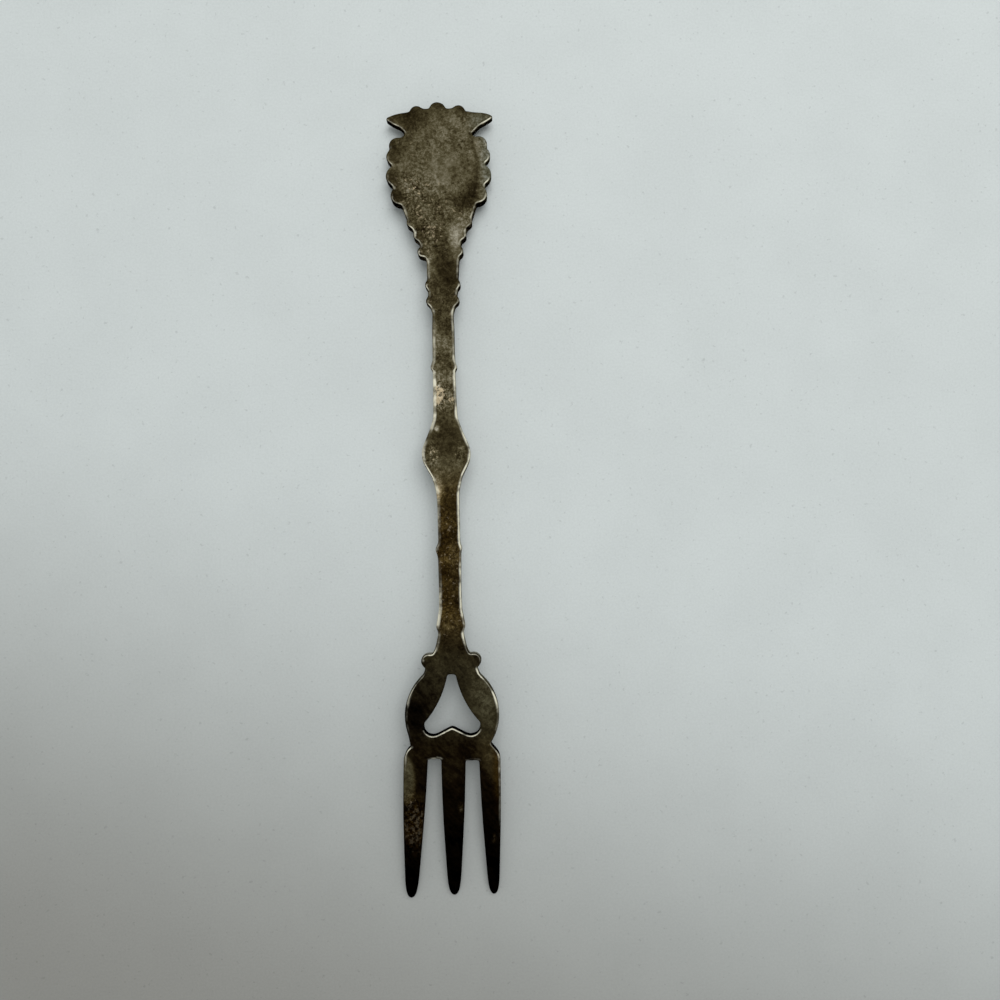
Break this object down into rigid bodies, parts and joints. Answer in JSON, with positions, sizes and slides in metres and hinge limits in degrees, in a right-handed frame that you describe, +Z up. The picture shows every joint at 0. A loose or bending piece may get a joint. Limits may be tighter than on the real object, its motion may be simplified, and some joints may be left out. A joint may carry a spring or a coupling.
{
  "type": "oyster fork",
  "caption": "Slender seafood fork lying back up: scalloped leaf-tipped terminal, knopped stem, a heart pierced above the shoulders, and long tapering tines for lifting flesh from shells.",
  "frame": {"origin": "on the table, under the line of the stem and half way along the fork, with its plain back up", "axes": "+Y along the fork towards the terminal, +X across it, +Z up out of its plain back"},
  "size_m": [0.0188, 0.14, 0.0065],
  "materials": {
    "tarnished_silver": "worn silver under uneven grey-brown tarnish, brighter on rubbed rims, near black on the tines"
  },
  "bodies": {
    "root": {"terminal": "tarnished_silver", "beaded_neck": "tarnished_silver", "upper_stem": "tarnished_silver", "oval_knop": "tarnished_silver", "lower_stem": "tarnished_silver", "shoulder_yoke": "tarnished_silver", "left_arm": "tarnished_silver", "right_arm": "tarnished_silver", "tine_bridge": "tarnished_silver", "left_tine": "tarnished_silver", "middle_tine": "tarnished_silver", "right_tine": "tarnished_silver"}
  },
  "joints": []
}
